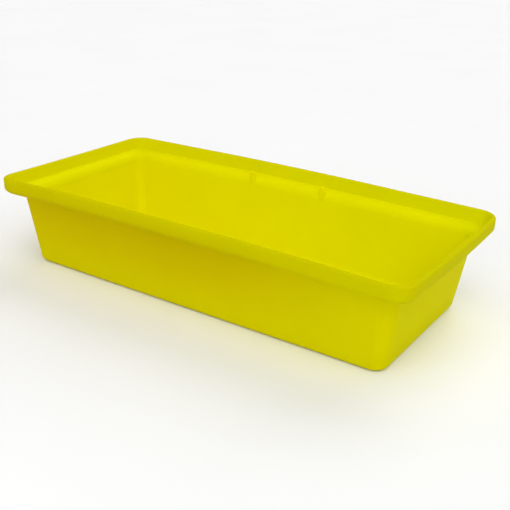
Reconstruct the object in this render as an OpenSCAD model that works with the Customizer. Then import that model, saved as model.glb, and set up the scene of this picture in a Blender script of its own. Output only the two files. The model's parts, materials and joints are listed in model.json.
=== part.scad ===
// Deep processing tray: a one-piece polyethylene moulding with tapered walls.
// A thick rim runs all the way round.  Inside the rim's raised outer edge is a
// lower ledge, which rounds over into the basin.  Two upright lugs stand on the
// inner side of the ledge on each long side.
// Millimetres.  Origin: centre of the underside.  +X along the length, +Z up.

/* [Outside size] */
// Length over the rim
tray_len = 800; // [600:5:1000]
// Width over the rim
tray_wid = 380; // [320:5:600]
// Height from the underside to the top of the rim
tray_h = 167; // [110:1:220]

/* [Walls and floor] */
// Thickness of the walls, square to the outside face
wall = 5; // [3:0.5:7]
// Thickness of the walls just under the ledge, measured level
wall_top = 7; // [6:0.5:9]
// Thickness of the floor
floor_t = 5; // [3:0.5:8]
// How far each wall leans in between the rim and the underside
lean = 18; // [8:1:30]
// Plan corner radius of the walls just under the rim
wall_corner_r = 27; // [22:1:45]
// Plan corner radius of the walls at the underside
base_corner_r = 20; // [16:1:40]
// Rounding between the walls and the underside
base_edge_r = 11; // [4:0.5:13]
// Rounding between the walls and the inner floor
floor_edge_r = 12; // [4:0.5:14]

/* [Rim] */
// Height of the rim's outer face
rim_h = 29; // [27:0.5:34]
// How far the rim stands out from the walls
rim_out = 26; // [25:0.5:32]
// Plan corner radius of the rim's outer face
rim_corner_r = 34; // [32:1:60]
// Thickness of the rim's raised outer edge at its foot
edge_t = 12.5; // [11:0.5:13.5]
// Thickness of the raised edge at its crest
crest_t = 7; // [6.5:0.25:10]
// Rounding on both sides of the crest
crest_r = 3; // [1:0.25:3.5]
// Rounding on the lower outside edge of the rim
rim_low_r = 11; // [1:0.5:12]
// Rounding under the rim, where it meets the walls
shoulder_r = 12; // [2:0.5:14]
// Rounding at the foot of the raised edge
foot_r = 3; // [0.5:0.25:4]
// Depth of the ledge below the top of the rim
ledge_drop = 24; // [18:0.5:26]
// Rounding of the ledge into the basin
ledge_edge_r = 18; // [4:0.5:20]

/* [Locating lugs] */
// Distance between the two lugs on each long side
lug_gap = 154; // [80:1:300]
// Length of a lug along the rim
lug_len = 11; // [6:0.5:20]
// Height of a lug above the ledge
lug_h = 9; // [4:0.5:18]
// Thickness of a lug, square to the rim
lug_t = 5; // [4:0.5:6]
// How far the front of a lug stands in from the top of the wall
lug_proud = 1.5; // [0:0.25:2]

/* [Smoothness] */
// Steps in each plan corner
corner_steps = 10; // [6:1:16]
// Steps in each rounding of the cross-section
edge_steps = 5; // [3:1:8]

/* [Hidden] */
tray_yellow = [0.87, 0.82, 0.04];
rim_z = tray_h - rim_h;
ledge_z = tray_h - ledge_drop;
base_inset = rim_out + lean;
// The wall leans, so its thickness measured level is a little more
wall_level = wall / cos(atan(lean / rim_z));
// How far a lug runs down below the ledge, so that it fuses with the wall
lug_root = 18;

// The cross-section's corner points, from the underside round the outside and
// over the rim to the inner floor.  Each is
// [inset from the rim's outer face, height, plan corner radius, rounding].
SECTION = [
    [base_inset, 0, base_corner_r, base_edge_r],
    [rim_out, rim_z, wall_corner_r, shoulder_r],
    [0, rim_z, rim_corner_r, rim_low_r],
    [0, tray_h, rim_corner_r, crest_r],
    [crest_t, tray_h, rim_corner_r - crest_t, crest_r],
    [edge_t, ledge_z, rim_corner_r - edge_t, foot_r],
    [rim_out + wall_top, ledge_z, wall_corner_r - wall_top, ledge_edge_r],
    [base_inset + wall_level, floor_t, base_corner_r - wall, floor_edge_r]
];

function lerp(a, b, t) = a + (b - a) * t;
function flat(p) = [p[0], p[1]];
function unit(v) = v / norm(v);

// The rounding at corner p between its neighbours a and b, as a list of
// [inset, height, plan corner radius]
function rounded_corner(a, p, b) =
    let (
        u = unit(flat(a) - flat(p)),
        v = unit(flat(b) - flat(p)),
        half = acos(u * v) / 2,
        reach = p[3] / tan(half),
        centre = flat(p) + unit(u + v) * p[3] / sin(half),
        start = flat(p) + u * reach - centre,
        turn = (180 - 2 * half) * sign(v[0] * u[1] - v[1] * u[0]),
        r_in = lerp(p[2], a[2], reach / norm(flat(a) - flat(p))),
        r_out = lerp(p[2], b[2], reach / norm(flat(b) - flat(p)))
    )
    [for (i = [0 : edge_steps])
        let (
            t = i / edge_steps,
            c = cos(turn * t),
            s = sin(turn * t)
        )
        [
            centre[0] + c * start[0] - s * start[1],
            centre[1] + s * start[0] + c * start[1],
            lerp(r_in, r_out, t)
        ]
    ];

// One closed loop round the tray at a station [inset, height, corner radius]
function loop(station) =
    let (
        r = station[2],
        cx = tray_len / 2 - station[0] - r,
        cy = tray_wid / 2 - station[0] - r
    )
    [for (quarter = [0 : 3], i = [0 : corner_steps])
        let (
            a = 90 * (quarter + i / corner_steps),
            sx = (quarter == 0 || quarter == 3) ? 1 : -1,
            sy = (quarter < 2) ? 1 : -1
        )
        [sx * cx + r * cos(a), sy * cy + r * sin(a), station[1]]
    ];

// A closed skin over a list of loops that all have the same number of points
module skin(loops) {
    n = len(loops[0]);
    last = len(loops) - 1;
    points = [for (one = loops, p = one) p];
    sides = [for (k = [0 : last - 1], i = [0 : n - 1])
        let (j = (i + 1) % n)
        [k * n + i, (k + 1) * n + i, (k + 1) * n + j, k * n + j]
    ];
    first_cap = [for (i = [0 : n - 1]) i];
    last_cap = [for (i = [n - 1 : -1 : 0]) last * n + i];
    polyhedron(points, concat([first_cap, last_cap], sides), convexity = 6);
}

// The whole moulding: underside, walls, rim, ledge, basin and floor
module shell() {
    centre_under = [tray_wid / 2, 0, 0];
    centre_floor = [tray_wid / 2, floor_t, 0];
    count = len(SECTION);
    stations = [for (k = [0 : count - 1])
        let (
            before = (k == 0) ? centre_under : SECTION[k - 1],
            after = (k == count - 1) ? centre_floor : SECTION[k + 1]
        )
        each rounded_corner(before, SECTION[k], after)
    ];
    skin([for (s = stations) loop(s)]);
}

// One lug, upright at the inner side of the ledge along +Y
module lug() {
    front_y = tray_wid / 2 - rim_out - wall_top - lug_proud;
    translate([-lug_len / 2, front_y, ledge_z - lug_root])
        cube([lug_len, lug_t, lug_h + lug_root]);
}

module tray() {
    color(tray_yellow)
        union() {
            shell();
            for (x = [-1, 1], y = [0, 1])
                mirror([0, y, 0])
                    translate([x * lug_gap / 2, 0, 0])
                        lug();
        }
}

tray();
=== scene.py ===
"""Looks of the deep yellow polyethylene tray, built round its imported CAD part.

One mesh stands for the CAD node "tray".  It follows the CAD cross-section, with
finer roundings, the slight bow that a moulded rim takes, and soft-edged lugs.
Metres and degrees.
"""
import json
import math

import bpy
import bmesh
from mathutils import Matrix, Vector, noise


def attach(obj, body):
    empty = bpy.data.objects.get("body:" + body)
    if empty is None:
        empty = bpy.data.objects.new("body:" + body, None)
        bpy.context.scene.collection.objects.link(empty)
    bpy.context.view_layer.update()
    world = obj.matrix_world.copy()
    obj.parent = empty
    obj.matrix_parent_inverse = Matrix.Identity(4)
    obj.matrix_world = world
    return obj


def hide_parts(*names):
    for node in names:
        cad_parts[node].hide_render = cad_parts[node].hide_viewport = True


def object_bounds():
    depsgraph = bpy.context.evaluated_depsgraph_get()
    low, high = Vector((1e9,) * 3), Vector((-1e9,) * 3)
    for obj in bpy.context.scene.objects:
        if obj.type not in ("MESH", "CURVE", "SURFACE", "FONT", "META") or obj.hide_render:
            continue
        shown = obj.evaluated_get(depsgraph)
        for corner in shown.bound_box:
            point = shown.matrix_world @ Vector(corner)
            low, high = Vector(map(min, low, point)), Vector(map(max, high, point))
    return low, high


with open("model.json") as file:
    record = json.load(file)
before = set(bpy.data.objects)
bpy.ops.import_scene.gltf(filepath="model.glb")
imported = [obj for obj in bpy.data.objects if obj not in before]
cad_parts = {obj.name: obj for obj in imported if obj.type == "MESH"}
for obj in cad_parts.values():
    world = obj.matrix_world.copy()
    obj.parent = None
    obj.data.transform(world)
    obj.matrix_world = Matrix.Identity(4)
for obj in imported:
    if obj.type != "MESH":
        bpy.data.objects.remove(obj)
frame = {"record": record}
cad_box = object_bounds()

MM = 0.001

# ---------------------------------------------------------------- dimensions
LOW, HIGH = cad_box
HALF_LENGTH = (HIGH.x - LOW.x) / 2
HALF_WIDTH = (HIGH.y - LOW.y) / 2
HEIGHT = HIGH.z
MOUNTS = {m["name"]: Vector(m["pos_m"]) for m in frame["record"]["mounts"]}
LEDGE_Z = MOUNTS["grid_ledge"].z

WALL = 5 * MM              # wall thickness, measured level
FLOOR = 5 * MM
WALL_TOP = 7 * MM          # and just under the ledge
RIM_HEIGHT = 29 * MM
RIM_OUT = 26 * MM          # how far the rim stands out from the walls
LEAN = 18 * MM             # how far the walls lean in, rim to underside
EDGE = 12.5 * MM           # the rim's raised outer edge, at its foot
CREST = 7 * MM             # and at its crest
RIM_Z = HEIGHT - RIM_HEIGHT
BASE_INSET = RIM_OUT + LEAN

# Plan corner radii
RIM_CORNER = 34 * MM
WALL_CORNER = 27 * MM
BASE_CORNER = 20 * MM

# Roundings of the cross-section
BASE_ROUND = 11 * MM       # walls into the underside
SHOULDER_ROUND = 12 * MM   # walls into the underside of the rim
RIM_LOW_ROUND = 11 * MM    # lower outside edge of the rim
CREST_OUT_ROUND = 5 * MM
CREST_IN_ROUND = 2 * MM
FOOT_ROUND = 3 * MM        # foot of the raised edge
LEDGE_ROUND = 18 * MM      # ledge into the basin
FLOOR_ROUND = 12 * MM      # walls into the inner floor

# Lugs
LUG_X = 77 * MM            # left and right of the middle
LUG_LENGTH = 11 * MM
LUG_THICK = 5 * MM
LUG_PROUD = 1.5 * MM       # how far they stand in from the top of the wall
LUG_TOP = 9 * MM           # above the ledge
LUG_ROOT = 18 * MM         # below the ledge, where they join the wall
LUG_BEVEL = 2 * MM
LUG_BEVEL_STEPS = 5

# How the rim of this moulding has moved from the straight CAD shape
SIDE_BOW = 4.2 * MM        # long sides drawn in, mid-length against corners
END_BOW = 2.7 * MM         # ends pushed out, mid-width against corners
LONG_RISE = 5.5 * MM       # long sides arched up at mid-length
END_DIP = 1.9 * MM         # ends sunk at mid-width
CORNER_DROP = 1.9 * MM     # keeps the mean height at the CAD height
WAVE = 0.25 * MM           # slow unevenness of the walls
WAVES_PER_METRE = 5.0
WAVE_START = 20 * MM       # height over which it builds up from the underside

# Mesh density
STEP_SIDE = 8 * MM
CORNER_STEPS = 18
ARC_STEPS = 8
WALL_STEPS = 14
FLOOR_STEPS = 12
WELD = 0.02 * MM           # points closer than this become one


def lerp(a, b, t):
    return a + (b - a) * t


def smooth(t):
    t = min(max(t, 0.0), 1.0)
    return t * t * (3 - 2 * t)


def passed(value, span):
    """How far a value has gone from span[0] to span[1], eased, 0 to 1."""
    return smooth((value - span[0]) / (span[1] - span[0]))


# ------------------------------------------------------------- cross-section
def rounded(before, corner, after):
    """Stations (inset, height, plan radius) of the rounding at one corner."""
    p = Vector(corner[:2])
    a = Vector(before[:2]) - p
    b = Vector(after[:2]) - p
    u, v = a.normalized(), b.normalized()
    half = math.acos(max(-1.0, min(1.0, u.dot(v)))) / 2
    radius = corner[3]
    reach = radius / math.tan(half)
    centre = p + (u + v).normalized() * radius / math.sin(half)
    start = p + u * reach - centre
    turn = math.copysign(math.pi - 2 * half, v.x * u.y - v.y * u.x)
    r_in = lerp(corner[2], before[2], reach / a.length)
    r_out = lerp(corner[2], after[2], reach / b.length)
    out = []
    for i in range(ARC_STEPS + 1):
        t = i / ARC_STEPS
        c, s = math.cos(turn * t), math.sin(turn * t)
        out.append((centre.x + c * start.x - s * start.y,
                    centre.y + s * start.x + c * start.y,
                    lerp(r_in, r_out, t)))
    return out


def between(a, b, steps):
    """Stations strictly between two stations."""
    return [tuple(lerp(a[k], b[k], i / steps) for k in range(3))
            for i in range(1, steps)]


def section():
    """Stations from the middle of the underside, round the outside and over
    the rim, to the middle of the inner floor."""
    # Inset, height, plan corner radius, rounding, steps on the straight before
    corners = [
        (BASE_INSET, 0, BASE_CORNER, BASE_ROUND, FLOOR_STEPS),
        (RIM_OUT, RIM_Z, WALL_CORNER, SHOULDER_ROUND, WALL_STEPS),
        (0, RIM_Z, RIM_CORNER, RIM_LOW_ROUND, 4),
        (0, HEIGHT, RIM_CORNER, CREST_OUT_ROUND, 6),
        (CREST, HEIGHT, RIM_CORNER - CREST, CREST_IN_ROUND, 2),
        (EDGE, LEDGE_Z, RIM_CORNER - EDGE, FOOT_ROUND, 10),
        (RIM_OUT + WALL_TOP, LEDGE_Z, WALL_CORNER - WALL_TOP, LEDGE_ROUND, 6),
        (BASE_INSET + WALL, FLOOR, BASE_CORNER - WALL, FLOOR_ROUND, WALL_STEPS),
    ]
    middle_under = (HALF_WIDTH, 0, 0)
    middle_floor = (HALF_WIDTH, FLOOR, 0)
    path = [middle_under] + corners + [middle_floor]
    stations = [middle_under]
    for before, corner, after in zip(path, corners, path[2:]):
        arc = rounded(before, corner, after)
        stations += between(stations[-1], arc[0], corner[4]) + arc
    return stations + between(stations[-1], middle_floor, FLOOR_STEPS) + [middle_floor]


# ------------------------------------------------------------------ the loops
def side_places(half):
    """Places along a straight side."""
    count = max(2, round(2 * half / STEP_SIDE))
    return [lerp(-half, half, i / count) for i in range(1, count)]


CORNER_ROOM = 72 * MM             # kept clear of the straight sides' places
X_REF = HALF_LENGTH - CORNER_ROOM
Y_REF = HALF_WIDTH - CORNER_ROOM
LONG = side_places(X_REF)
SHORT = side_places(Y_REF)


def loop(station):
    """Plan points of one loop, anticlockwise from the -Y corner of the +X end."""
    inset, _, r = station
    cx = HALF_LENGTH - inset - r
    cy = HALF_WIDTH - inset - r
    sx = min(1.0, cx / (X_REF + STEP_SIDE))
    sy = min(1.0, cy / (Y_REF + STEP_SIDE))
    points = []
    corners = ((1, -1, -90), (1, 1, 0), (-1, 1, 90), (-1, -1, 180))
    for n, (ux, uy, start) in enumerate(corners):
        if n == 1:
            points += [Vector((cx + r, y * sy)) for y in SHORT]
        elif n == 2:
            points += [Vector((-x * sx, cy + r)) for x in LONG]
        elif n == 3:
            points += [Vector((-cx - r, -y * sy)) for y in SHORT]
        for i in range(CORNER_STEPS + 1):
            a = math.radians(start + 90 * i / CORNER_STEPS)
            points.append(Vector((ux * cx + r * math.cos(a),
                                  uy * cy + r * math.sin(a))))
    points += [Vector((x * sx, -cy - r)) for x in LONG]
    return points


def settle(p):
    """Moves a point the way the real moulding has moved: the rim is bowed and
    the underside is not, and the walls wander a little."""
    u = max(-1.0, min(1.0, p.x / HALF_LENGTH))
    v = max(-1.0, min(1.0, p.y / HALF_WIDTH))
    up = min(1.0, max(0.0, p.z / HEIGHT))
    q = p.copy()
    q.y += math.copysign(SIDE_BOW * (u * u - 1 / 3) * v * v * up, p.y)
    q.x += math.copysign(END_BOW * (2 / 3 - v * v) * u * u * up, p.x)
    q.z += up * (LONG_RISE * (1 - u * u) * v * v
                 - END_DIP * (1 - v * v) * u * u - CORNER_DROP)
    drift = noise.noise(p * WAVES_PER_METRE) * WAVE * smooth(p.z / WAVE_START)
    q.x += drift * u
    q.y += drift * v
    return q


# ----------------------------------------------------- where the painted light and shade change
# Painted light and shade as one level, from 0, painted shade where the moulding is thick,
# as in the rim's edge, to 1, painted light where light would come through a thin wall and
# be thrown about in the basin
OUTSIDE = 0.4
EDGE_FACE = 0.0
EDGE_BACK = 0.6
BASIN = 0.9
LEDGE_END = 0.6            # painted shade on the top of the basin's end walls, and the ledge there
LUG_PAINTED_LIGHT = 0.94

# Spans over which the painted light level changes, from its first value to its second
RIM_SPAN = (RIM_Z - 12 * MM, RIM_Z + 4 * MM)           # height, outside
CREST_SPAN = (CREST - 1.5 * MM, CREST + 0.3 * MM)      # inset, on the crest
FOOT_SPAN = (LEDGE_Z, LEDGE_Z + 2 * MM)                # height, inside
LEDGE_SPAN = (LEDGE_Z - 25 * MM, LEDGE_Z - 5 * MM)     # height, inside
END_SPAN = (0.70 * HALF_LENGTH, 0.925 * HALF_LENGTH)   # distance from mid-length

# Spans over which the painted shade under the rim, on the outside, grows from none to full
SHADE_FROM_TOP = (HEIGHT, RIM_Z - 15 * MM)              # height
SHADE_FROM_BASE = (0, RIM_Z - 30 * MM)                  # height
SHADE_ALONG = (0.90 * HALF_LENGTH, 0.05 * HALF_LENGTH)  # x, growing towards -X
# Span of x over which it then eases to its value at the -X end
SHADE_EASES = (-0.375 * HALF_LENGTH, -0.875 * HALF_LENGTH)
SHADE_AT_END = 0.75


def painted_light(station, inside, x):
    """The painted light level at a station, at one place along it."""
    inset, z, _ = station
    if not inside:
        return lerp(OUTSIDE, EDGE_FACE, passed(z, RIM_SPAN))
    if z > FOOT_SPAN[1]:
        return lerp(EDGE_FACE, EDGE_BACK, passed(inset, CREST_SPAN))
    near_end = passed(abs(x), END_SPAN) * passed(z, LEDGE_SPAN)
    basin = lerp(BASIN, LEDGE_END, near_end)
    return lerp(basin, EDGE_BACK, passed(z, FOOT_SPAN))


def under_rim_shade(station, inside, x):
    """Painted shade: 1 on the outside under the rim, where the painted shadow of the rim
    is darkest, fading up the rim, down the wall and towards +X."""
    if inside:
        return 0.0
    z = station[1]
    along = passed(x, SHADE_ALONG) * lerp(1, SHADE_AT_END, passed(x, SHADE_EASES))
    return passed(z, SHADE_FROM_TOP) * passed(z, SHADE_FROM_BASE) * along


# ------------------------------------------------------------------- the mesh
def add_lug(bm, x, side):
    """An upright lug at the inner side of the ledge, with soft edges."""
    front = HALF_WIDTH - RIM_OUT - WALL_TOP - LUG_PROUD
    y = side * (front + LUG_THICK / 2)
    z = LEDGE_Z + (LUG_TOP - LUG_ROOT) / 2
    size = Vector((LUG_LENGTH, LUG_THICK, LUG_TOP + LUG_ROOT))
    made = bmesh.ops.create_cube(bm, size=1)["verts"]
    for vert in made:
        vert.co = Vector((x, y, z)) + vert.co * size
    edges = {e for v in made for e in v.link_edges}
    bmesh.ops.bevel(bm, geom=list(edges), offset=LUG_BEVEL,
                    segments=LUG_BEVEL_STEPS, profile=0.5, affect="EDGES")


def skin_mesh():
    """The moulding without its lugs: every loop joined to the next."""
    stations = section()
    verts, faces, painted_light_values, painted_shade = [], [], [], []
    top = max(range(len(stations)), key=lambda k: stations[k][1])
    for k, station in enumerate(stations):
        for p in loop(station):
            verts.append(Vector((p.x, p.y, station[1])))
            painted_light_values.append(painted_light(station, k > top, p.x))
            painted_shade.append(under_rim_shade(station, k > top, p.x))
    n = len(verts) // len(stations)
    for k in range(len(stations) - 1):
        for i in range(n):
            j = (i + 1) % n
            faces.append((k * n + i, k * n + j, (k + 1) * n + j, (k + 1) * n + i))
    mesh = bpy.data.meshes.new("tray_skin")
    mesh.from_pydata(verts, [], faces)
    # The painted light level and the painted shade under the rim ride on the points
    for name, values in (("painted_light", painted_light_values), ("under_rim_shade", painted_shade)):
        mesh.attributes.new(name, "FLOAT", "POINT").data.foreach_set("value", values)
    return mesh


def build_tray():
    mesh = skin_mesh()
    bm = bmesh.new()
    bm.from_mesh(mesh)
    bmesh.ops.remove_doubles(bm, verts=bm.verts, dist=WELD)
    skin = set(bm.verts)
    for x in (-LUG_X, LUG_X):
        for side in (-1, 1):
            add_lug(bm, x, side)
    # The lugs get the brightest painted light
    layer = bm.verts.layers.float["painted_light"]
    for vert in bm.verts:
        if vert not in skin:
            vert[layer] = LUG_PAINTED_LIGHT
        vert.co = settle(vert.co)
    bmesh.ops.recalc_face_normals(bm, faces=bm.faces)
    bm.to_mesh(mesh)
    bm.free()
    mesh.polygons.foreach_set("use_smooth", [True] * len(mesh.polygons))
    obj = bpy.data.objects.new("tray_skin", mesh)
    bpy.context.scene.collection.objects.link(obj)
    return obj


# ---------------------------------------------------------------- materials
class Nodes:
    """A short way to write a node tree."""

    def __init__(self, name):
        self.material = bpy.data.materials.new(name)
        self.material.use_nodes = True
        self.tree = self.material.node_tree
        self.tree.nodes.clear()

    def add(self, kind, **settings):
        node = self.tree.nodes.new("ShaderNode" + kind)
        for key, value in settings.items():
            setattr(node, key, value)
        return node

    def link(self, out, inp):
        self.tree.links.new(out, inp)

    def surface(self, shader):
        """Ends the tree at a shader, and gives the finished material."""
        self.link(shader.outputs["BSDF"], self.add("OutputMaterial").inputs["Surface"])
        return self.material


def noise_node(m, coords, scale, detail, rough=0.5):
    node = m.add("TexNoise")
    node.inputs["Scale"].default_value = scale
    node.inputs["Detail"].default_value = detail
    node.inputs["Roughness"].default_value = rough
    m.link(coords, node.inputs["Vector"])
    return node.outputs["Fac"]


def attribute(m, name):
    return m.add("Attribute", attribute_name=name).outputs["Fac"]


def ramp(m, fac, stops):
    node = m.add("ValToRGB")
    elements = node.color_ramp.elements
    while len(elements) < len(stops):
        elements.new(0.5)
    for element, (place, colour) in zip(elements, stops):
        element.position = place
        element.color = colour
    m.link(fac, node.inputs["Fac"])
    return node.outputs["Color"]


def remap(m, value, span, to_span):
    """Carries a value from one span to another."""
    node = m.add("MapRange")
    node.inputs["From Min"].default_value, node.inputs["From Max"].default_value = span
    node.inputs["To Min"].default_value, node.inputs["To Max"].default_value = to_span
    m.link(value, node.inputs["Value"])
    return node.outputs["Result"]


def bump(m, height, strength, depth):
    node = m.add("Bump")
    node.inputs["Strength"].default_value = strength
    node.inputs["Distance"].default_value = depth
    m.link(height, node.inputs["Height"])
    return node


# Colour by painted light level, from painted shade on the solid edge of the rim to painted
# light inside the basin
PAINTED_LIGHT_YELLOWS = [
    (0.0, (0.602, 0.555, 0.000, 1)),
    (0.4, (0.698, 0.635, 0.000, 1)),
    (0.6, (0.756, 0.732, 0.000, 1)),
    (0.9, (0.820, 0.777, 0.000, 1)),
    (1.0, (0.900, 0.860, 0.000, 1)),
]
UNDER_RIM_SHADE_TINT = (0.90, 0.80, 1.0, 1)     # painted shade: multiplies the colour where the painted shade under the rim is full
PAINTED_TINT_HUES = (0.4962, 0.5038)              # painted light tint: warmer at -X, greener at +X; 0.5 is neutral
VALUES = (0.985, 1.015)              # slow clouding of the colour
ROUGHNESS = (0.40, 0.50)
INDEX = 1.03                         # low, for the dull gloss of polyethylene
SCATTER = 0.1
SCATTER_RADIUS = (1.0, 0.7, 0.05)
SCATTER_DEPTH = 3 * MM
NOISE_SPAN = (0.3, 0.7)              # holds nearly all of a noise's values


def polyethylene():
    m = Nodes("yellow_polyethylene")
    coords = m.add("TexCoord").outputs["Object"]
    along = m.add("SeparateXYZ")
    m.link(coords, along.inputs["Vector"])
    cloud = noise_node(m, coords, scale=9, detail=2)
    grain = noise_node(m, coords, scale=900, detail=4, rough=0.6)
    peel = noise_node(m, coords, scale=160, detail=3)

    shade = m.add("HueSaturation")
    length = (-HALF_LENGTH, HALF_LENGTH)
    # Painted light and shade: lit and shaded yellows chosen by the painted light level
    m.link(ramp(m, attribute(m, "painted_light"), PAINTED_LIGHT_YELLOWS), shade.inputs["Color"])
    m.link(remap(m, cloud, NOISE_SPAN, VALUES), shade.inputs["Value"])
    # Painted light tint along the length
    m.link(remap(m, along.outputs["X"], length, PAINTED_TINT_HUES), shade.inputs["Hue"])
    # Painted shade under the rim: darkens and warms the colour there
    painted_shade = m.add("MixRGB", blend_type="MULTIPLY")
    m.link(attribute(m, "under_rim_shade"), painted_shade.inputs["Fac"])
    m.link(shade.outputs["Color"], painted_shade.inputs["Color1"])
    painted_shade.inputs["Color2"].default_value = UNDER_RIM_SHADE_TINT

    fine = bump(m, grain, strength=0.35, depth=0.1 * MM)
    soft = bump(m, peel, strength=0.5, depth=0.2 * MM)
    m.link(fine.outputs["Normal"], soft.inputs["Normal"])

    shader = m.add("BsdfPrincipled")
    m.link(painted_shade.outputs["Color"], shader.inputs["Base Color"])
    m.link(remap(m, peel, NOISE_SPAN, ROUGHNESS), shader.inputs["Roughness"])
    m.link(soft.outputs["Normal"], shader.inputs["Normal"])
    shader.inputs["IOR"].default_value = INDEX
    shader.inputs["Subsurface Weight"].default_value = SCATTER
    shader.inputs["Subsurface Radius"].default_value = SCATTER_RADIUS
    shader.inputs["Subsurface Scale"].default_value = SCATTER_DEPTH
    return m.surface(shader)


PAPER_SHADES = [(0.3, (0.95, 0.95, 0.95, 1)), (0.7, (0.97, 0.97, 0.97, 1))]


def floor_paper():
    m = Nodes("floor_paper")
    coords = m.add("TexCoord").outputs["Object"]
    mottle = noise_node(m, coords, scale=3, detail=2)
    shader = m.add("BsdfPrincipled")
    m.link(ramp(m, mottle, PAPER_SHADES), shader.inputs["Base Color"])
    shader.inputs["Roughness"].default_value = 0.9
    shader.inputs["Specular IOR Level"].default_value = 0.1
    return m.surface(shader)


# ------------------------------------------------------------------- staging
FLOOR_HALF = 20.0
FLOOR_GAP = 0.2 * MM       # keeps the floor clear of the underside


def add_floor():
    mesh = bpy.data.meshes.new("floor")
    corners = [(x * FLOOR_HALF, y * FLOOR_HALF, 0)
               for x, y in ((-1, -1), (1, -1), (1, 1), (-1, 1))]
    mesh.from_pydata(corners, [], [(0, 1, 2, 3)])
    obj = bpy.data.objects.new("floor", mesh)
    obj.location.z = -FLOOR_GAP
    obj.data.materials.append(floor_paper())
    bpy.context.scene.collection.objects.link(obj)


# Soft distant lights: name, where each comes from, strength, softness
SUNS = [
    ("front_right", (1.3, -1.6, 2.2), 0.93, 50),
    ("overhead", (0, -1.2, 2.7), 0.50, 50),
    ("behind", (0, 2.0, 2.0), 1.01, 50),
    ("left", (-2.2, 0, 1.8), 0.10, 50),
    ("right", (2.2, 0, 1.8), 0.41, 50),
    ("low_left", (-1.0, -1.8, 0.7), 0.29, 30),
]

# A small low panel that lights the near wall's right half
FILL_PLACE = (0.35, -0.95, 0.16)
FILL_AIM = (0.2, -0.19, 0.1)
FILL_SIZE = (0.5, 0.2)
FILL_WATTS = 0.24

# Even light from all round, and how bright that backdrop looks to the camera
WORLD_STRENGTH = 0.278
BACKDROP_STRENGTH = 0.95


def add_sun(name, toward, strength, softness):
    light = bpy.data.lights.new(name, "SUN")
    light.energy = strength
    light.angle = math.radians(softness)
    obj = bpy.data.objects.new(name, light)
    obj.rotation_euler = Vector(toward).to_track_quat("Z", "Y").to_euler()
    bpy.context.scene.collection.objects.link(obj)


def add_fill():
    light = bpy.data.lights.new("fill", "AREA")
    light.shape = "RECTANGLE"
    light.size, light.size_y = FILL_SIZE
    light.energy = FILL_WATTS
    obj = bpy.data.objects.new("fill", light)
    obj.location = FILL_PLACE
    direction = Vector(FILL_AIM) - Vector(FILL_PLACE)
    obj.rotation_euler = direction.to_track_quat("-Z", "Y").to_euler()
    bpy.context.scene.collection.objects.link(obj)


def add_world():
    world = bpy.data.worlds.new("studio")
    world.use_nodes = True
    tree = world.node_tree
    background = tree.nodes["Background"]
    background.inputs["Color"].default_value = (1, 1, 1, 1)
    seen = tree.nodes.new("ShaderNodeMapRange")
    seen.inputs["To Min"].default_value = WORLD_STRENGTH
    seen.inputs["To Max"].default_value = BACKDROP_STRENGTH
    rays = tree.nodes.new("ShaderNodeLightPath")
    tree.links.new(rays.outputs["Is Camera Ray"], seen.inputs["Value"])
    tree.links.new(seen.outputs["Result"], background.inputs["Strength"])
    bpy.context.scene.world = world


# Camera: the direction it looks from, and its place in tray lengths
CAMERA_AZIMUTH = 32.967
CAMERA_ELEVATION = 22.733
CAMERA_ROLL = 1.771
CAMERA_DISTANCE = 1.8424
CAMERA_RIGHT = 0.0400
CAMERA_UP = 0.0590
CAMERA_LENS_MM = 57.40
SENSOR_MM = 36


def add_camera():
    az, el, roll = (math.radians(a) for a in
                    (CAMERA_AZIMUTH, CAMERA_ELEVATION, CAMERA_ROLL))
    back = Vector((math.sin(az) * math.cos(el),
                   -math.cos(az) * math.cos(el), math.sin(el)))
    level = Vector((math.cos(az), math.sin(az), 0))
    upright = back.cross(level)
    right = math.cos(roll) * level + math.sin(roll) * upright
    up = -math.sin(roll) * level + math.cos(roll) * upright
    length = 2 * HALF_LENGTH
    place = length * (CAMERA_RIGHT * right + CAMERA_UP * up + CAMERA_DISTANCE * back)
    data = bpy.data.cameras.new("camera")
    data.sensor_width = SENSOR_MM
    data.lens = CAMERA_LENS_MM
    obj = bpy.data.objects.new("camera", data)
    turn = Matrix((right, up, back)).transposed().to_4x4()
    obj.matrix_world = Matrix.Translation(place) @ turn
    bpy.context.scene.collection.objects.link(obj)
    bpy.context.scene.camera = obj


def main():
    tray = build_tray()
    tray.data.materials.append(polyethylene())
    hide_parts("tray")
    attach(tray, "root")
    add_floor()
    add_world()
    for sun in SUNS:
        add_sun(*sun)
    add_fill()
    add_camera()
    bpy.context.scene.view_settings.view_transform = "Standard"


main()
